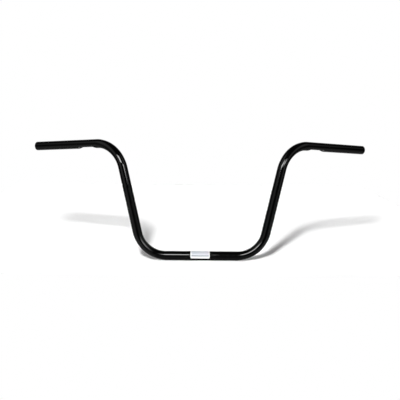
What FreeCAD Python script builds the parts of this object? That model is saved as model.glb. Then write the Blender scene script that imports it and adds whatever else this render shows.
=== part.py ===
import FreeCAD, Part
import math
import os

# Cruiser motorcycle handlebar: one steel tube with four bends, a wiring dimple pressed into the underside
# of each grip, open ends, and a blank adhesive label on the clamp section.
# Millimetres and degrees. The origin is on the tube's axis at the middle of the clamp section, X runs along
# that section, +Z is up the risers, and +Y points back to the rider, the way the grips sweep.

# Tube
tube_diameter = 25.4
wall_thickness = 2.4

# Bends and straights, along the tube's centreline
clamp_section_length = 192.0
riser_length = 180.0
grip_length = 220.0
bend_radius = 82.55
riser_splay = 13.1
grip_sweep = 32.0
grip_droop = 1.0

# A cold bend flattens the tube: the share of its radius that it loses across the bend and gains sideways,
# and the length over which that comes and goes
bend_flattening = 0.06
bend_spread = 0.02
bend_ease = 25.0

# A bend's surface passes through this many sections, each drawn with this many arcs
bend_stations = 9
section_arcs = 6

# Deburred ends
end_round = 1.0
bore_chamfer = 0.6

# Wiring dimple, pressed by a round die whose two ends slope, the steeper one towards the tube's end
dimple_from_bend = 2.5
dimple_length = 62.5
dimple_depth = 6.4
dimple_lip_radius = 2.0
die_radius = 19.0
die_end_slope = 42.0
die_bend_slope = 34.0
die_corner_radius = 6.0

# Label, wrapped round the front and top of the clamp section
label_length = 52.5
label_width = 30.0
label_thickness = 0.08
label_corner_radius = 2.5
label_from_centre = -4.5
label_lower_edge = 28.0

# A cutting shape stands this far past the surface that it cuts
overrun = 2.0

# Lengths and places that differ by less than this are the same
same = 0.001

tube_radius = tube_diameter / 2
bore_radius = tube_radius - wall_thickness
origin = FreeCAD.Vector(0, 0, 0)
up = FreeCAD.Vector(0, 0, 1)
back = FreeCAD.Vector(0, 1, 0)


class Run:
    """A stretch of the centreline: where it starts, the way it heads there, and how it goes on."""

    def __init__(self, start, heading, length=0.0, inward=None, turn=0.0):
        self.start = start
        self.heading = heading
        self.length = length
        self.inward = inward
        self.turn = turn

    def at(self, share):
        """The point and the heading at this share of the run."""
        if self.inward is None:
            return self.start + self.heading * (self.length * share), self.heading
        angle = self.turn * share
        along = self.heading * math.sin(angle) + self.inward * (1 - math.cos(angle))
        heading = self.heading * math.cos(angle) + self.inward * math.sin(angle)
        return self.start + along * bend_radius, heading


def bend_run(start, heading, leaving):
    """The bend that turns the tube from one heading to the next."""
    turn = heading.getAngle(leaving)
    inward = leaving - heading * heading.dot(leaving)
    inward.normalize()
    return Run(start, heading, inward=inward, turn=turn)


def side_runs(side):
    """The centreline from the clamp section to one end: bend, riser, bend, grip. side is 1 or -1."""
    splay = math.radians(riser_splay)
    sweep = math.radians(grip_sweep)
    droop = math.radians(grip_droop)
    outward = FreeCAD.Vector(side, 0, 0)
    riser_way = outward * math.sin(splay) + up * math.cos(splay)
    level_way = outward * math.cos(sweep) + back * math.sin(sweep)
    grip_way = level_way * math.cos(droop) - up * math.sin(droop)

    lower_bend = bend_run(outward * (clamp_section_length / 2), outward, riser_way)
    riser = Run(lower_bend.at(1)[0], riser_way, riser_length)
    upper_bend = bend_run(riser.at(1)[0], riser_way, grip_way)
    grip = Run(upper_bend.at(1)[0], grip_way, grip_length)
    return lower_bend, riser, upper_bend, grip


def straight_tube(run):
    outside = Part.makeCylinder(tube_radius, run.length, run.start, run.heading)
    return outside.cut(Part.makeCylinder(bore_radius, run.length, run.start, run.heading))


def bend_section(run, radius, share):
    """The half width and half depth of a bend's section: round at both ends, flattened between them."""
    from_end = min(share, 1 - share) * run.turn * bend_radius
    eased = min(from_end / bend_ease, 1)
    flattened = eased * eased * (3 - 2 * eased)
    return radius * (1 + bend_spread * flattened), radius * (1 - bend_flattening * flattened)


def bend_side(run, radius):
    """A bend's skin at this radius: true ellipses for sections, their poles carried along the bend."""
    axle = run.heading.cross(run.inward)
    shares = [station / (bend_stations - 1) for station in range(bend_stations)]
    half_arc = math.pi / section_arcs
    poles = []
    weights = []
    for corner in range(2 * section_arcs + 1):
        angle = half_arc * corner
        weight = math.cos(half_arc) if corner % 2 else 1.0
        line = []
        for share in shares:
            half_width, half_depth = bend_section(run, radius, share)
            middle, heading = run.at(share)
            across = axle * (half_width * math.cos(angle) / weight)
            inward = axle.cross(heading) * (half_depth * math.sin(angle) / weight)
            line.append(middle + across + inward)
        curve = Part.BSplineCurve()
        curve.interpolate(Points=line, Parameters=shares)
        poles.append(curve.getPoles())
        weights.append([weight] * curve.NbPoles)

    round_knots = list(range(section_arcs + 1))
    round_multiplicities = [3] + [2] * (section_arcs - 1) + [3]
    surface = Part.BSplineSurface()
    surface.buildFromPolesMultsKnots(
        poles, round_multiplicities, curve.getMultiplicities(), round_knots, curve.getKnots(),
        False, False, 2, curve.Degree, weights,
    )
    return surface.toShape()


def bend_tube(run):
    """A bend with its bore, closed by a flat ring at each end."""
    sides = [bend_side(run, radius) for radius in (tube_radius, bore_radius)]
    rings = [[Part.Wire([edge]) for edge in side.Edges if edge.isClosed()] for side in sides]
    ends = [Part.makeFace(list(pair), "Part::FaceMakerBullseye") for pair in zip(*rings)]
    skin = Part.Shell(sides + ends)
    skin.sewShape()
    return Part.Solid(skin)


def dimple_die(grip, growth):
    """The die under one grip, grown by the wall's thickness where it shapes the bore."""
    end_slope = math.radians(die_end_slope)
    bend_slope = math.radians(die_bend_slope)
    crown = die_radius + growth
    rise = dimple_depth + overrun
    near_lip = dimple_from_bend
    far_lip = dimple_from_bend + dimple_length
    near_crown = near_lip + dimple_depth / math.tan(bend_slope) - growth * math.tan(bend_slope / 2)
    far_crown = far_lip - dimple_depth / math.tan(end_slope) + growth * math.tan(end_slope / 2)

    outline = [
        FreeCAD.Vector(near_crown - rise / math.tan(bend_slope), crown - rise, 0),
        FreeCAD.Vector(near_crown, crown, 0),
        FreeCAD.Vector(far_crown, crown, 0),
        FreeCAD.Vector(far_crown + rise / math.tan(end_slope), crown - rise, 0),
    ]
    outline.append(FreeCAD.Vector(outline[-1].x, 0, 0))
    outline.append(FreeCAD.Vector(outline[0].x, 0, 0))
    outline.append(outline[0])
    section = Part.Face(Part.makePolygon(outline))
    die = section.revolve(origin, FreeCAD.Vector(1, 0, 0), 360)
    crown_edges = [edge for edge in die.Edges if is_ring(edge, crown)]
    die = die.makeFillet(die_corner_radius + growth, crown_edges)

    under = under_of(grip)
    depth_of_axis = tube_radius - dimple_depth + die_radius
    turned = FreeCAD.Rotation(grip.heading, grip.heading.cross(under), under, "XYZ")
    die.Placement = FreeCAD.Placement(grip.start + under * depth_of_axis, turned)
    return die


def under_of(grip):
    """The way straight down from a grip's axis, square to it."""
    down = grip.heading * up.dot(grip.heading) - up
    down.normalize()
    return down


def is_ring(edge, radius):
    return isinstance(edge.Curve, Part.Circle) and abs(edge.Curve.Radius - radius) < same


def lip_edges(shape, grip):
    """The edges where the dimple breaks through the tube's round surface under one grip."""
    under = under_of(grip)
    far_lip = dimple_from_bend + dimple_length
    found = []
    for edge in shape.Edges:
        middle = edge.valueAt((edge.FirstParameter + edge.LastParameter) / 2) - grip.start
        along = middle.dot(grip.heading)
        below = middle.dot(under)
        off_axis = (middle - grip.heading * along).Length
        inside = dimple_from_bend - overrun < along < far_lip + overrun
        if inside and below > 0 and abs(off_axis - tube_radius) < same:
            found.append(edge)
    return found


def end_edges(shape, grip, radius):
    """The ring of this radius at the open end of one grip."""
    tip = grip.at(1)[0]
    rings = [edge for edge in shape.Edges if is_ring(edge, radius)]
    return [ring for ring in rings if ring.Curve.Center.sub(tip).Length < same]


def grip_tube(grip):
    """A grip with its open end deburred and its dimple, whose wall stands into the bore."""
    outside = Part.makeCylinder(tube_radius, grip.length, grip.start, grip.heading)
    outside = outside.cut(dimple_die(grip, 0.0))
    outside = outside.makeFillet(dimple_lip_radius, lip_edges(outside, grip))
    bore = Part.makeCylinder(bore_radius, grip.length, grip.start, grip.heading)
    tube = outside.cut(bore.cut(dimple_die(grip, wall_thickness)))
    tube = tube.makeFillet(end_round, end_edges(tube, grip, tube_radius))
    return tube.makeChamfer(bore_chamfer, end_edges(tube, grip, bore_radius))


def handlebar_tube():
    clamp_start = FreeCAD.Vector(-clamp_section_length / 2, 0, 0)
    clamp_section = straight_tube(Run(clamp_start, FreeCAD.Vector(1, 0, 0), clamp_section_length))
    pieces = []
    for side in (1, -1):
        lower_bend, riser, upper_bend, grip = side_runs(side)
        pieces += [bend_tube(lower_bend), straight_tube(riser), bend_tube(upper_bend), grip_tube(grip)]
    return clamp_section.multiFuse(pieces).Solids[0]


def centre_label():
    """A thin sleeve on the clamp section, cut to a round-cornered strip that wraps over its front and top."""
    along = FreeCAD.Vector(1, 0, 0)
    label_radius = tube_radius + label_thickness
    sleeve_start = along * (label_from_centre - label_length / 2 - overrun)
    sleeve_length = label_length + 2 * overrun
    sleeve = Part.makeCylinder(label_radius, sleeve_length, sleeve_start, along)
    sleeve = sleeve.cut(Part.makeCylinder(tube_radius, sleeve_length, sleeve_start, along))
    sleeve.rotate(origin, along, 180)

    lower = math.radians(label_lower_edge)
    facing = FreeCAD.Vector(0, -math.cos(lower), -math.sin(lower))
    near_end = along * (label_from_centre - label_length / 2)
    far_end = along * (label_from_centre + label_length / 2)
    outline = [
        near_end + facing * (tube_radius - overrun),
        far_end + facing * (tube_radius - overrun),
        far_end + facing * (label_radius + overrun),
        near_end + facing * (label_radius + overrun),
    ]
    outline.append(outline[0])
    lower_edge = Part.Face(Part.makePolygon(outline))
    wrap = math.degrees(label_width / tube_radius)
    cutter = lower_edge.revolve(origin, along * -1, wrap)
    corners = [edge for edge in cutter.Edges if abs(edge.Length - label_thickness - 2 * overrun) < same]
    cutter = cutter.makeFillet(label_corner_radius, corners)
    return sleeve.common(cutter).Solids[0]


def main():
    os.makedirs("parts", exist_ok=True)
    tube = handlebar_tube()
    tube.exportStep("parts/handlebar_tube.step")
    label = centre_label()
    label.exportStep("parts/centre_label.step")


main()
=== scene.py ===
import bpy
import math
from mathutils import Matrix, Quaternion, Vector


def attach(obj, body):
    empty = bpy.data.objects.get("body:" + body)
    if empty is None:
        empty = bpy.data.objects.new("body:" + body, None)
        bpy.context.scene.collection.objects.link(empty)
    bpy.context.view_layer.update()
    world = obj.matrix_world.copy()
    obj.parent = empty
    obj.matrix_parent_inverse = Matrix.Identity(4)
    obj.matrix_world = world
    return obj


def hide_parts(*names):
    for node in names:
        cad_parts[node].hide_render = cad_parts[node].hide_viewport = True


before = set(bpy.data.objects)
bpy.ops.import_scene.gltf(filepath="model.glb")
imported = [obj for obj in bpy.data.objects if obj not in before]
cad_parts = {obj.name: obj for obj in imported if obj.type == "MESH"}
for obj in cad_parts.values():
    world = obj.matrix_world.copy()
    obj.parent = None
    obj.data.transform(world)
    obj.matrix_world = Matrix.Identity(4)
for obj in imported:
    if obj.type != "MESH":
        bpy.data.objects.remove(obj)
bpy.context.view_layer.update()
mm = 0.001

# A cruiser motorcycle's bare handlebar: one bent steel tube in gloss black powder coat, with a small
# vinyl label. Sizes are in millimetres and degrees, as in the CAD, unless a note says otherwise.
# +X is the rider's left, +Y points back to the rider, +Z is up.

tubeSet = {
    "diameter": 25.4,
    "wall": 2.4,
    "clampLength": 192.0,
    "riserLength": 180.0,
    "gripLength": 220.0,
    "bendRadius": 82.55,
    "riserSplay": 13.1,
    "gripSweep": 32.0,
    "gripDroop": 1.0,
    "bendFlattening": 0.06,  # share of its radius that the tube loses across a bend
    "bendSpread": 0.02,      # and gains sideways
    "bendEase": 25.0,        # length over which that comes and goes
    "endRound": 1.0,
    "endRoundSteps": 6,
    "boreChamfer": 0.6,
    "boreChamferSteps": 2,
    "smoothBelow": 50.0,     # edges that turn more than this stay sharp
    "sides": 96,             # points round the tube
    "bendRings": 44,         # rings in a bend
    "straightRings": 4,      # rings in a plain straight
    "tipRing": 4.0,          # a ring this far from the open end keeps its rounding crisp
}

dimpleSet = {
    "fromBend": 2.5,
    "length": 62.5,
    "depth": 6.4,
    "lip": 2.0,
    "boreLip": 0.6,
    "dieRadius": 19.0,
    "dieEndSlope": 42.0,
    "dieBendSlope": 34.0,
    "dieCorner": 6.0,
    "ringGap": 0.8,          # the rings are this close along the dimple
}


def nothingSelected():
    if bpy.context.object and bpy.context.object.mode != "OBJECT":
        bpy.ops.object.mode_set(mode="OBJECT")
    bpy.ops.object.select_all(action="DESELECT")


def pickOnly(piece):
    nothingSelected()
    piece.select_set(True)
    bpy.context.view_layer.objects.active = piece


def applyAll(piece):
    pickOnly(piece)
    for modifier in list(piece.modifiers):
        bpy.ops.object.modifier_apply(modifier=modifier.name)


# Centreline of the left half, from the middle of the clamp section to the open end


def bendFrom(start, way, leaving):
    radius = tubeSet["bendRadius"] * mm
    inward = (leaving - way * way.dot(leaving)).normalized()
    turn = way.angle(leaving)
    end = start + (way * math.sin(turn) + inward * (1 - math.cos(turn))) * radius
    return {"way": way, "inward": inward, "turn": turn, "end": end, "radius": radius,
            "centre": start + inward * radius, "axle": way.cross(inward)}


splay = math.radians(tubeSet["riserSplay"])
sweep = math.radians(tubeSet["gripSweep"])
droop = math.radians(tubeSet["gripDroop"])
clampWay = Vector((1, 0, 0))
riserWay = Vector((math.sin(splay), 0, math.cos(splay)))
gripWay = Vector((math.cos(sweep) * math.cos(droop), math.sin(sweep) * math.cos(droop), -math.sin(droop)))
clampHalf = tubeSet["clampLength"] / 2 * mm
riserLength = tubeSet["riserLength"] * mm
gripLength = tubeSet["gripLength"] * mm
lowerBend = bendFrom(clampWay * clampHalf, clampWay, riserWay)
upperBend = bendFrom(lowerBend["end"] + riserWay * riserLength, riserWay, gripWay)
gripStart = upperBend["end"]
gripTip = gripStart + gripWay * gripLength
gripUnder = (gripWay * gripWay.z - Vector((0, 0, 1))).normalized()
gripSide = gripWay.cross(gripUnder)
tubeRadius = tubeSet["diameter"] / 2 * mm
boreRadius = tubeRadius - tubeSet["wall"] * mm


def drawRing(way, length, rings):
    for ring in range(rings):
        bpy.ops.mesh.extrude_region_move(TRANSFORM_OT_translate={"value": way * (length / rings)})


def spinRing(bend):
    # spin turns clockwise about its axis, so the axle is pointed the other way
    bpy.ops.mesh.spin(steps=tubeSet["bendRings"], angle=bend["turn"], center=bend["centre"],
                      axis=-bend["axle"])


def flattenBend(skin, bend):
    # a cold bend loses depth and gains width, most in its middle
    near = tubeRadius * 1.5  # what lies farther from the bend's centreline is another stretch of the tube
    for vertex in skin.data.vertices:
        offset = vertex.co - bend["centre"]
        across = offset.dot(bend["axle"])
        arm = offset - bend["axle"] * across
        angle = math.atan2(arm.dot(bend["way"]), -arm.dot(bend["inward"]))
        depth = arm.length - bend["radius"]
        if not 0 < angle < bend["turn"] or abs(depth) > near or abs(across) > near:
            continue
        fromEnd = min(angle, bend["turn"] - angle) * bend["radius"]
        eased = min(fromEnd / (tubeSet["bendEase"] * mm), 1)
        share = eased * eased * (3 - 2 * eased)
        arm *= (bend["radius"] + depth * (1 - tubeSet["bendFlattening"] * share)) / arm.length
        vertex.co = bend["centre"] + arm + bend["axle"] * (across * (1 + tubeSet["bendSpread"] * share))


def dieFall(past, slope, corner):
    # how far the die's crown has dropped this far past its rounded shoulder
    tangent = corner * math.tan(slope / 2)
    if past < -tangent:
        return 0
    if past < tangent * math.cos(slope):
        return corner - math.sqrt(corner * corner - (past + tangent) ** 2)
    return past * math.tan(slope)


def smoothLeast(a, b, width):
    share = min(max(0.5 + (b - a) / (2 * width), 0), 1)
    return b + (a - b) * share - width * share * (1 - share)


def pressDimple(skin, growth, lip):
    # a round die pressed up into the underside of the grip; for the bore it is grown by the wall
    depth = dimpleSet["depth"] * mm
    crown = dimpleSet["dieRadius"] * mm + growth
    corner = dimpleSet["dieCorner"] * mm + growth
    axisBelow = tubeRadius - depth + dimpleSet["dieRadius"] * mm
    bendSlope = math.radians(dimpleSet["dieBendSlope"])
    endSlope = math.radians(dimpleSet["dieEndSlope"])
    nearLip = dimpleSet["fromBend"] * mm
    farLip = nearLip + dimpleSet["length"] * mm
    nearCrown = nearLip + depth / math.tan(bendSlope) - growth * math.tan(bendSlope / 2)
    farCrown = farLip - depth / math.tan(endSlope) + growth * math.tan(endSlope / 2)
    for vertex in skin.data.vertices:
        offset = vertex.co - gripStart
        along = offset.dot(gripWay)
        below = offset.dot(gripUnder)
        side = offset.dot(gripSide)
        if not 0 < along < farLip + lip * 2 or below <= 0:
            continue
        nearFall = dieFall(nearCrown - along, bendSlope, corner)
        farFall = dieFall(along - farCrown, endSlope, corner)
        reach = crown - max(nearFall, farFall)
        if abs(side) >= reach:
            continue
        pressed = axisBelow - math.sqrt(reach * reach - side * side)
        vertex.co += gripUnder * (smoothLeast(below, pressed, lip) - below)


def halfSkin(name, radius, growth, lip):
    nothingSelected()
    bpy.ops.mesh.primitive_circle_add(vertices=tubeSet["sides"], radius=radius,
                                      rotation=(0, math.pi / 2, 0))
    skin = bpy.context.active_object
    skin.name = name
    bpy.ops.object.transform_apply(location=True, rotation=True, scale=True)
    bpy.ops.object.mode_set(mode="EDIT")
    bpy.ops.mesh.select_all(action="SELECT")
    dimpled = (dimpleSet["fromBend"] + dimpleSet["length"] + 2 * dimpleSet["lip"]) * mm
    tipRing = tubeSet["tipRing"] * mm
    drawRing(clampWay, clampHalf, tubeSet["straightRings"])
    spinRing(lowerBend)
    drawRing(riserWay, riserLength, tubeSet["straightRings"])
    spinRing(upperBend)
    drawRing(gripWay, dimpled, round(dimpled / (dimpleSet["ringGap"] * mm)))
    drawRing(gripWay, gripLength - dimpled - tipRing, tubeSet["straightRings"])
    drawRing(gripWay, tipRing, 1)
    bpy.ops.object.mode_set(mode="OBJECT")
    flattenBend(skin, lowerBend)
    flattenBend(skin, upperBend)
    pressDimple(skin, growth, lip)
    return skin


def selectEdges(piece, wanted):
    bpy.ops.mesh.select_mode(type="EDGE")
    bpy.ops.mesh.select_all(action="DESELECT")
    bpy.ops.object.mode_set(mode="OBJECT")
    points = piece.data.vertices
    for edge in piece.data.edges:
        edge.select = all(wanted(points[index].co) for index in edge.vertices)
    bpy.ops.object.mode_set(mode="EDIT")


def fromAxis(point):
    offset = point - gripStart
    return (offset - gripWay * offset.dot(gripWay)).length


tight = 0.01 * mm  # places that differ by less than this are the same


def atTip(point):
    return abs((point - gripTip).dot(gripWay)) < tight


def onOuterRim(point):
    return atTip(point) and fromAxis(point) > tubeRadius - tight


def onBoreRim(point):
    return atTip(point) and fromAxis(point) < boreRadius + tight


def makeHandlebar():
    outer = halfSkin("handlebar", tubeRadius, 0, dimpleSet["lip"] * mm)
    outer.data.materials.append(blackPowderCoat())
    inner = halfSkin("bore", boreRadius, tubeSet["wall"] * mm, dimpleSet["boreLip"] * mm)
    inner.data.materials.append(drawnSteel())
    pickOnly(outer)
    inner.select_set(True)
    bpy.ops.object.join()

    # draw the skin in over the wall's end to the bore, then round it outside and break its edge inside
    drawIn = boreRadius / tubeRadius
    bpy.ops.object.mode_set(mode="EDIT")
    selectEdges(outer, onOuterRim)
    bpy.ops.mesh.extrude_region_move()
    bpy.ops.transform.resize(value=(drawIn, drawIn, drawIn), center_override=gripTip)
    bpy.ops.mesh.select_all(action="SELECT")
    bpy.ops.mesh.remove_doubles(threshold=tight)
    bpy.ops.mesh.normals_make_consistent(inside=False)
    selectEdges(outer, onOuterRim)
    bpy.ops.mesh.bevel(offset=tubeSet["endRound"] * mm, segments=tubeSet["endRoundSteps"], affect="EDGES")
    selectEdges(outer, onBoreRim)
    bpy.ops.mesh.bevel(offset=tubeSet["boreChamfer"] * mm, segments=tubeSet["boreChamferSteps"],
                       affect="EDGES")
    bpy.ops.object.mode_set(mode="OBJECT")

    # the other half is the same
    mirror = outer.modifiers.new("otherHalf", "MIRROR")
    mirror.use_axis = (True, False, False)
    mirror.merge_threshold = tight
    applyAll(outer)
    bpy.ops.object.mode_set(mode="EDIT")
    bpy.ops.mesh.select_all(action="SELECT")
    bpy.ops.mesh.remove_doubles(threshold=tight)
    bpy.ops.mesh.normals_make_consistent(inside=False)
    bpy.ops.object.mode_set(mode="OBJECT")
    bpy.ops.object.shade_smooth_by_angle(angle=math.radians(tubeSet["smoothBelow"]))
    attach(outer, "root")
    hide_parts("handlebar_tube")
    print("handlebar:", len(outer.data.polygons), "faces")


# Materials


def linear(hexColour):
    parts = [int(hexColour[i:i + 2], 16) / 255 for i in (1, 3, 5)]
    return tuple(c / 12.92 if c <= 0.04045 else ((c + 0.055) / 1.055) ** 2.4 for c in parts) + (1.0,)


def addNode(tree, kind, settings=None, links=None):
    # settings name properties or input sockets; links give an input socket the output socket that feeds it
    node = tree.nodes.new(kind)
    for name, value in (settings or {}).items():
        if isinstance(name, str) and hasattr(node, name) and name not in node.inputs:
            setattr(node, name, value)
        else:
            node.inputs[name].default_value = value
    for name, source in (links or {}).items():
        tree.links.new(source, node.inputs[name])
    return node


def riseAndFall(tree, coordinate, places):
    # 0 up to the first place, 1 from the second to the third, and 0 again past the fourth
    begin, full, fade, end = places
    rise = addNode(tree, "ShaderNodeMapRange", {"From Min": begin, "From Max": full}, {"Value": coordinate})
    fall = addNode(tree, "ShaderNodeMapRange", {"From Min": end, "From Max": fade}, {"Value": coordinate})
    both = addNode(tree, "ShaderNodeMath", {"operation": "MULTIPLY"},
                   {0: rise.outputs["Result"], 1: fall.outputs["Result"]})
    return both.outputs["Value"]


def newMaterial(name):
    material = bpy.data.materials.new(name)
    material.use_nodes = True
    tree = material.node_tree
    shader = tree.nodes["Principled BSDF"]
    place = addNode(tree, "ShaderNodeTexCoord").outputs["Object"]
    return material, tree, shader, place


coatSet = {
    "colour": "#030303",
    "roughness": (0.06, 0.11),
    "orangePeel": 2.6,       # mm between the swells of the melted powder
    "peelDepth": 0.004,      # mm
    "patch": 26.0,           # mm over which the gloss drifts
    "patchSpan": (0.35, 0.65),  # noise values between which it goes from glossiest to dullest
    "ior": 1.5,
    "mirror": 0.25,          # of the usual 0.5: the peel's fine haze takes half of the mirror image
}


def blackPowderCoat():
    # gloss polyester powder coat, baked on: deep black, mirror highlights slightly broken by orange peel
    material, tree, shader, place = newMaterial("blackPowderCoat")
    peel = addNode(tree, "ShaderNodeTexNoise", {"Scale": 1 / (coatSet["orangePeel"] * mm), "Detail": 2.0},
                   {"Vector": place})
    bump = addNode(tree, "ShaderNodeBump", {"Strength": 1.0, "Distance": coatSet["peelDepth"] * mm},
                   {"Height": peel.outputs["Fac"]})
    patch = addNode(tree, "ShaderNodeTexNoise", {"Scale": 1 / (coatSet["patch"] * mm), "Detail": 3.0},
                    {"Vector": place})
    low, high = coatSet["roughness"]
    least, most = coatSet["patchSpan"]
    gloss = addNode(tree, "ShaderNodeMapRange",
                    {"From Min": least, "From Max": most, "To Min": low, "To Max": high},
                    {"Value": patch.outputs["Fac"]})
    shader.inputs["Base Color"].default_value = linear(coatSet["colour"])
    shader.inputs["IOR"].default_value = coatSet["ior"]
    shader.inputs["Specular IOR Level"].default_value = coatSet["mirror"]
    tree.links.new(gloss.outputs["Result"], shader.inputs["Roughness"])
    tree.links.new(bump.outputs["Normal"], shader.inputs["Normal"])
    return material


boreSet = {
    "steel": "#8f8b85",
    "overspray": "#121315",
    "metallic": 0.7,         # a dull film of scale and oil lies on it
    "roughness": (0.38, 0.62),
    "fade": (2.0, 16.0),     # mm from the open end over which the sprayed powder thins out
    "cloud": 5.0,            # mm between the powder's patches
    "ragged": 8.0,           # mm by which they shift its edge
    "drawLine": 1.2,         # mm between the marks of the drawing die
    "drawLength": 40.0,      # mm
}


def drawnSteel():
    # bare cold-drawn tube inside the bore: dull grey, lined along its length, black with overspray
    # near the open ends; both halves share one pattern, so it is drawn for one and mirrored
    material, tree, shader, place = newMaterial("drawnSteel")
    split = addNode(tree, "ShaderNodeSeparateXYZ", {}, {"Vector": place})
    outward = addNode(tree, "ShaderNodeMath", {"operation": "ABSOLUTE"}, {0: split.outputs["X"]})
    either = addNode(tree, "ShaderNodeCombineXYZ", {},
                     {"X": outward.outputs["Value"], "Y": split.outputs["Y"], "Z": split.outputs["Z"]})
    along = addNode(tree, "ShaderNodeVectorMath", {"operation": "DOT_PRODUCT", 1: gripWay},
                    {0: either.outputs["Vector"]})
    thick, thin = boreSet["fade"]
    ragged = boreSet["ragged"] * mm
    mouth = gripTip.dot(gripWay) + ragged / 2
    cloud = addNode(tree, "ShaderNodeTexNoise", {"Scale": 1 / (boreSet["cloud"] * mm), "Detail": 4.0},
                    {"Vector": place})
    shifted = addNode(tree, "ShaderNodeMath", {"operation": "MULTIPLY_ADD", 1: ragged},
                      {0: cloud.outputs["Fac"], 2: along.outputs["Value"]})
    cover = addNode(tree, "ShaderNodeMapRange",
                    {"From Min": mouth - thin * mm, "From Max": mouth - thick * mm},
                    {"Value": shifted.outputs["Value"]})
    colour = addNode(tree, "ShaderNodeMix", {"data_type": "RGBA", 6: linear(boreSet["steel"]),
                                             7: linear(boreSet["overspray"])}, {0: cover.outputs["Result"]})
    metal = addNode(tree, "ShaderNodeMapRange", {"To Min": boreSet["metallic"], "To Max": 0.0},
                    {"Value": cover.outputs["Result"]})
    squeeze = gripWay * (boreSet["drawLine"] / boreSet["drawLength"] - 1)
    shortened = addNode(tree, "ShaderNodeVectorMath", {"operation": "SCALE", 0: squeeze},
                        {"Scale": along.outputs["Value"]})
    drawn = addNode(tree, "ShaderNodeVectorMath", {"operation": "ADD"},
                    {0: either.outputs["Vector"], 1: shortened.outputs["Vector"]})
    lines = addNode(tree, "ShaderNodeTexNoise", {"Scale": 1 / (boreSet["drawLine"] * mm), "Detail": 3.0},
                    {"Vector": drawn.outputs["Vector"]})
    low, high = boreSet["roughness"]
    rough = addNode(tree, "ShaderNodeMapRange", {"To Min": low, "To Max": high},
                    {"Value": lines.outputs["Fac"]})
    tree.links.new(colour.outputs[2], shader.inputs["Base Color"])
    tree.links.new(metal.outputs["Result"], shader.inputs["Metallic"])
    tree.links.new(rough.outputs["Result"], shader.inputs["Roughness"])
    return material


labelSet = {
    "length": 52.5,
    "width": 30.0,
    "thickness": 0.08,
    "corner": 2.5,
    "cornerSteps": 8,
    "fromCentre": -4.5,
    "lowerEdge": 28.0,       # degrees below the front
    "strips": 40,            # flat strips that the wrap is made of
    "smoothBelow": 40.0,
    "grain": 1.5,            # mm between the film's soft and shiny spots
    "roughness": (0.42, 0.54),
    "mirror": 0.3,
    "border": 2.4,          # mm of white at the ends and the top
    "blankStrip": 5.7,       # mm of white along the lower edge
    "rule": 3.3,             # mm, the grey line above that strip
    "blur": 0.35,            # mm over which one printed tone passes into the next
    "white": "#f4f5f6",
    "grey": "#a3a9b0",
    "fieldLeft": "#cdd5dc",
    "fieldRight": "#dddbe3",
}


def printedFrom(tree, coordinate, size, start, end):
    # 1 where this coordinate lies between two places on the label, in mm, and 0 outside them
    half = labelSet["blur"] / 2
    places = (start - half, start + half, end - half, end + half)
    return riseAndFall(tree, coordinate, [place / size for place in places])


def labelVinyl():
    # printed vinyl film: satin white with a plain pale field over a grey line and a blank strip
    material, tree, shader, place = newMaterial("labelVinyl")
    flat = addNode(tree, "ShaderNodeUVMap", {"uv_map": "flat"})
    split = addNode(tree, "ShaderNodeSeparateXYZ", {}, {"Vector": flat.outputs["UV"]})
    long, wide, border = labelSet["length"], labelSet["width"], labelSet["border"]
    ruleTop = labelSet["blankStrip"] + labelSet["rule"]
    between = printedFrom(tree, split.outputs["X"], long, border, long - border)
    overStrip = printedFrom(tree, split.outputs["Y"], wide, labelSet["blankStrip"], wide - border)
    overRule = printedFrom(tree, split.outputs["Y"], wide, ruleTop, wide)
    printed = addNode(tree, "ShaderNodeMath", {"operation": "MULTIPLY"}, {0: between, 1: overStrip})
    field = addNode(tree, "ShaderNodeMix", {"data_type": "RGBA", 6: linear(labelSet["fieldLeft"]),
                                            7: linear(labelSet["fieldRight"])}, {0: split.outputs["X"]})
    tone = addNode(tree, "ShaderNodeMix", {"data_type": "RGBA", 6: linear(labelSet["grey"])},
                   {0: overRule, 7: field.outputs[2]})
    colour = addNode(tree, "ShaderNodeMix", {"data_type": "RGBA", 6: linear(labelSet["white"])},
                     {0: printed.outputs["Value"], 7: tone.outputs[2]})
    grain = addNode(tree, "ShaderNodeTexNoise", {"Scale": 1 / (labelSet["grain"] * mm), "Detail": 2.0},
                    {"Vector": place})
    low, high = labelSet["roughness"]
    rough = addNode(tree, "ShaderNodeMapRange", {"To Min": low, "To Max": high},
                    {"Value": grain.outputs["Fac"]})
    shader.inputs["Specular IOR Level"].default_value = labelSet["mirror"]
    tree.links.new(colour.outputs[2], shader.inputs["Base Color"])
    tree.links.new(rough.outputs["Result"], shader.inputs["Roughness"])
    return material


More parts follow.
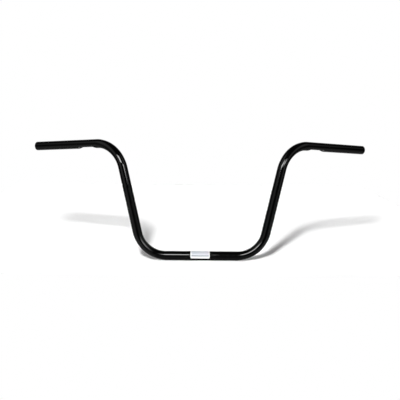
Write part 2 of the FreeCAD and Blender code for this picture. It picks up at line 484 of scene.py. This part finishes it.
def makeLabel():
    # a flat strip with round corners, cut across, then wrapped round the tube
    long, wide = labelSet["length"] * mm, labelSet["width"] * mm
    nothingSelected()
    bpy.ops.mesh.primitive_plane_add(size=1)
    label = bpy.context.active_object
    label.name = "centreLabel"
    label.scale = (long, wide, 1)
    bpy.ops.object.transform_apply(location=True, rotation=True, scale=True)
    bpy.ops.object.mode_set(mode="EDIT")
    bpy.ops.mesh.select_all(action="SELECT")
    bpy.ops.mesh.bevel(offset=labelSet["corner"] * mm, segments=labelSet["cornerSteps"], affect="VERTICES")
    for strip in range(1, labelSet["strips"]):
        bpy.ops.mesh.select_all(action="SELECT")
        cut = wide * (strip / labelSet["strips"] - 0.5)
        bpy.ops.mesh.bisect(plane_co=(0, cut, 0), plane_no=(0, 1, 0))
    bpy.ops.object.mode_set(mode="OBJECT")

    for layer in list(label.data.uv_layers):
        label.data.uv_layers.remove(layer)
    flat = label.data.uv_layers.new(name="flat")
    for loop in label.data.loops:
        point = label.data.vertices[loop.vertex_index].co
        flat.data[loop.index].uv = (point.x / long + 0.5, point.y / wide + 0.5)
    lowest = math.radians(labelSet["lowerEdge"])
    for vertex in label.data.vertices:
        angle = (vertex.co.y + wide / 2) / tubeRadius - lowest
        place = labelSet["fromCentre"] * mm + vertex.co.x
        vertex.co = (place, -tubeRadius * math.cos(angle), tubeRadius * math.sin(angle))
    film = label.modifiers.new("film", "SOLIDIFY")
    film.thickness = labelSet["thickness"] * mm
    film.offset = 1
    applyAll(label)
    bpy.ops.object.shade_smooth_by_angle(angle=math.radians(labelSet["smoothBelow"]))
    label.data.materials.append(labelVinyl())
    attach(label, "root")
    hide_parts("centre_label")
    print("label:", len(label.data.polygons), "faces")


# Studio


paperSet = {
    "halfWidth": 0.85,       # m, all the paper's sizes
    "front": 0.15,
    "back": 1.6,
    "slope": 6.9,            # degrees: the paper rises behind the bar and catches its shadow
    "gap": 0.0001,           # between the tube and the paper
    "colour": "#f4f4f4",
    "roughness": 0.9,
    "beam": (0.02, 0.635),   # where the lamps light it most
    "beamTurn": -8.9,        # degrees by which the patch of light is turned on the paper
    "beamReach": (0.78, 1.16),  # the patch's half width and half depth
    "glow": (0.014, 0.320),  # at the patch's middle and its rim: it makes up for the light that is lost
    "inReflections": 0.25,   # how much of the paper the reflections see: the black stays deep
}


def makePaper():
    nothingSelected()
    slope = math.radians(paperSet["slope"])
    depth = paperSet["front"] + paperSet["back"]
    middle = depth / 2 - paperSet["front"]
    under = (tubeRadius + paperSet["gap"]) / math.cos(slope)
    bpy.ops.mesh.primitive_plane_add(size=1)
    paper = bpy.context.active_object
    paper.name = "paperSheet"
    paper.scale = (2 * paperSet["halfWidth"], depth / math.cos(slope), 1)
    paper.rotation_euler = (slope, 0, 0)
    paper.location = (0, middle, middle * math.tan(slope) - under)
    bpy.ops.object.transform_apply(location=True, rotation=True, scale=True)
    paper.data.materials.append(whitePaper())
    print("paper laid")
    return paper


def whitePaper():
    # matt white backdrop paper that shows white to the eye, keeps the shadow, and is clear from below
    material, tree, shader, place = newMaterial("whitePaper")
    flat = addNode(tree, "ShaderNodeVectorMath", {"operation": "MULTIPLY", 1: (1, 1, 0)}, {0: place})
    away = addNode(tree, "ShaderNodeMapping",
                   {"vector_type": "TEXTURE", "Location": (*paperSet["beam"], 0),
                    "Rotation": (0, 0, math.radians(paperSet["beamTurn"])),
                    "Scale": (*paperSet["beamReach"], 1)}, {"Vector": flat.outputs["Vector"]})
    far = addNode(tree, "ShaderNodeVectorMath", {"operation": "DOT_PRODUCT"},
                  {0: away.outputs["Vector"], 1: away.outputs["Vector"]})
    least, most = paperSet["glow"]
    glow = addNode(tree, "ShaderNodeMapRange", {"clamp": False, "To Min": least, "To Max": most},
                   {"Value": far.outputs["Value"]})
    seen = addNode(tree, "ShaderNodeLightPath")
    through = addNode(tree, "ShaderNodeMath", {"operation": "MAXIMUM"},
                      {0: seen.outputs["Is Transmission Ray"], 1: seen.outputs["Is Glossy Ray"]})
    shown = addNode(tree, "ShaderNodeMath", {"operation": "MAXIMUM"},
                    {0: seen.outputs["Is Camera Ray"], 1: through.outputs["Value"]})
    strength = addNode(tree, "ShaderNodeMath", {"operation": "MULTIPLY"},
                       {0: glow.outputs["Result"], 1: shown.outputs["Value"]})
    shader.inputs["Base Color"].default_value = linear(paperSet["colour"])
    shader.inputs["Roughness"].default_value = paperSet["roughness"]
    shader.inputs["Specular IOR Level"].default_value = 0.0
    shader.inputs["Emission Color"].default_value = (1, 1, 1, 1)
    tree.links.new(strength.outputs["Value"], shader.inputs["Emission Strength"])
    side = addNode(tree, "ShaderNodeNewGeometry")
    faint = addNode(tree, "ShaderNodeMath", {"operation": "MULTIPLY", 1: 1 - paperSet["inReflections"]},
                    {0: seen.outputs["Is Glossy Ray"]})
    thin = addNode(tree, "ShaderNodeMath", {"operation": "MAXIMUM"},
                   {0: side.outputs["Backfacing"], 1: faint.outputs["Value"]})
    clear = addNode(tree, "ShaderNodeBsdfTransparent")
    either = addNode(tree, "ShaderNodeMixShader", {},
                     {0: thin.outputs["Value"], 1: shader.outputs["BSDF"], 2: clear.outputs["BSDF"]})
    tree.links.new(either.outputs["Shader"], tree.nodes["Material Output"].inputs["Surface"])
    return material


roomSet = {
    "fill": 0.20,            # soft light from all round
    "white": (0.55, 0.93),   # how nearly a reflection has to head straight back to see the white backdrop
    "dark": 0.01,            # the dim room behind the camera, in reflections
    "walls": 0.85,           # pale walls at both sides of the camera, in reflections
    "leftWall": (-0.97, -0.80, -0.58, -0.28),  # where each begins, is full, fades and ends, by the way's X
    "rightWall": (0.52, 0.74, 0.82, 0.97),
    "ahead": (0.1, -0.2),    # and where both begin and are full, by its Y
}


def makeRoom():
    world = bpy.data.worlds.new("room")
    bpy.context.scene.world = world
    world.use_nodes = True
    tree = world.node_tree
    background = tree.nodes["Background"]
    way = addNode(tree, "ShaderNodeTexCoord").outputs["Generated"]
    split = addNode(tree, "ShaderNodeSeparateXYZ", {}, {"Vector": way})
    low, high = roomSet["white"]
    behind = addNode(tree, "ShaderNodeMapRange", {"From Min": low, "From Max": high},
                     {"Value": split.outputs["Y"]})
    begin, full = roomSet["ahead"]
    ahead = addNode(tree, "ShaderNodeMapRange", {"From Min": begin, "From Max": full},
                    {"Value": split.outputs["Y"]})
    wall = addNode(tree, "ShaderNodeMath", {"operation": "MAXIMUM"},
                   {0: riseAndFall(tree, split.outputs["X"], roomSet["leftWall"]),
                    1: riseAndFall(tree, split.outputs["X"], roomSet["rightWall"])})
    frontWall = addNode(tree, "ShaderNodeMath", {"operation": "MULTIPLY"},
                        {0: wall.outputs["Value"], 1: ahead.outputs["Result"]})
    dim = addNode(tree, "ShaderNodeMapRange", {"To Min": roomSet["dark"], "To Max": roomSet["walls"]},
                  {"Value": frontWall.outputs["Value"]})
    mirrored = addNode(tree, "ShaderNodeMath", {"operation": "MAXIMUM"},
                       {0: behind.outputs["Result"], 1: dim.outputs["Result"]})
    seen = addNode(tree, "ShaderNodeLightPath")
    direct = addNode(tree, "ShaderNodeMath", {"operation": "MAXIMUM"},
                     {0: seen.outputs["Is Camera Ray"], 1: seen.outputs["Is Transmission Ray"]})
    shiny = addNode(tree, "ShaderNodeMix", {"data_type": "FLOAT", 2: roomSet["fill"]},
                    {0: seen.outputs["Is Glossy Ray"], 3: mirrored.outputs["Value"]})
    strength = addNode(tree, "ShaderNodeMath", {"operation": "MAXIMUM"},
                       {0: direct.outputs["Value"], 1: shiny.outputs[0]})
    background.inputs["Color"].default_value = (1, 1, 1, 1)
    tree.links.new(strength.outputs["Value"], background.inputs["Strength"])


# places, aims and sizes in metres
lampSet = {
    "key": {"place": (-0.522, -2.571, 1.555), "aim": (0, 0, 0.1), "size": (0.30, 0.50),
            "roll": 0, "spread": 180, "watts": 73},
    "paperKey": {"place": (-0.522, -2.571, 1.555), "aim": (0.5, 3.2, 0.4), "size": (0.30, 0.50),
                 "roll": 0, "spread": 48, "watts": 21.6},
    "softboxLeft": {"place": (-0.379, -1.836, 0.987), "aim": (0, 0, 0.15), "size": (0.961, 0.614),
                    "roll": 23, "spread": 180, "watts": 46},
    "softboxRight": {"place": (0.882, -2.192, 0.798), "aim": (0, 0, 0.15), "size": (0.772, 0.488),
                     "roll": 0, "spread": 180, "watts": 21},
}


def addLamp(name, mirrored=False, only=None):
    # the key lamp lights the bar and the paper and casts the shadow, the paper's own key deepens that
    # shadow, and the softboxes show only as the long highlights in the gloss
    chosen = lampSet[name]
    lamp = bpy.data.lights.new(name, "AREA")
    lamp.shape = "RECTANGLE"
    lamp.size, lamp.size_y = chosen["size"]
    lamp.spread = math.radians(chosen["spread"])
    lamp.energy = chosen["watts"]
    holder = bpy.data.objects.new(name, lamp)
    bpy.context.scene.collection.objects.link(holder)
    holder.location = chosen["place"]
    holder.rotation_mode = "QUATERNION"
    aimed = (Vector(chosen["aim"]) - Vector(chosen["place"])).to_track_quat("-Z", "Y")
    holder.rotation_quaternion = aimed @ Quaternion((0, 0, 1), math.radians(chosen["roll"]))
    holder.visible_camera = False
    holder.visible_glossy = mirrored
    holder.visible_diffuse = not mirrored
    if only:
        lit = bpy.data.collections.new(name + "Lights")
        lit.objects.link(only)
        holder.light_linking.receiver_collection = lit


cameraSet = {
    "aim": (-6.126, 0.0, 153.13),
    "distance": 1947.0,
    "azimuth": -1.838,
    "elevation": 1.72,
    "roll": 0.6585,
    "lens": 64.0,
    "sensor": 36.0,
}


def makeCamera():
    azimuth, elevation = math.radians(cameraSet["azimuth"]), math.radians(cameraSet["elevation"])
    back = Vector((math.sin(azimuth) * math.cos(elevation), -math.cos(azimuth) * math.cos(elevation),
                   math.sin(elevation)))
    camera = bpy.data.objects.new("camera", bpy.data.cameras.new("camera"))
    bpy.context.scene.collection.objects.link(camera)
    camera.data.lens = cameraSet["lens"]
    camera.data.sensor_width = cameraSet["sensor"]
    camera.location = Vector(cameraSet["aim"]) * mm + back * cameraSet["distance"] * mm
    camera.rotation_mode = "QUATERNION"
    roll = Quaternion((0, 0, 1), math.radians(cameraSet["roll"]))
    camera.rotation_quaternion = (-back).to_track_quat("-Z", "Y") @ roll
    bpy.context.scene.camera = camera


makeHandlebar()
makeLabel()
paper = makePaper()
makeRoom()
addLamp("key")
addLamp("paperKey", only=paper)
addLamp("softboxLeft", mirrored=True)
addLamp("softboxRight", mirrored=True)
makeCamera()
bpy.context.scene.view_settings.view_transform = "Standard"
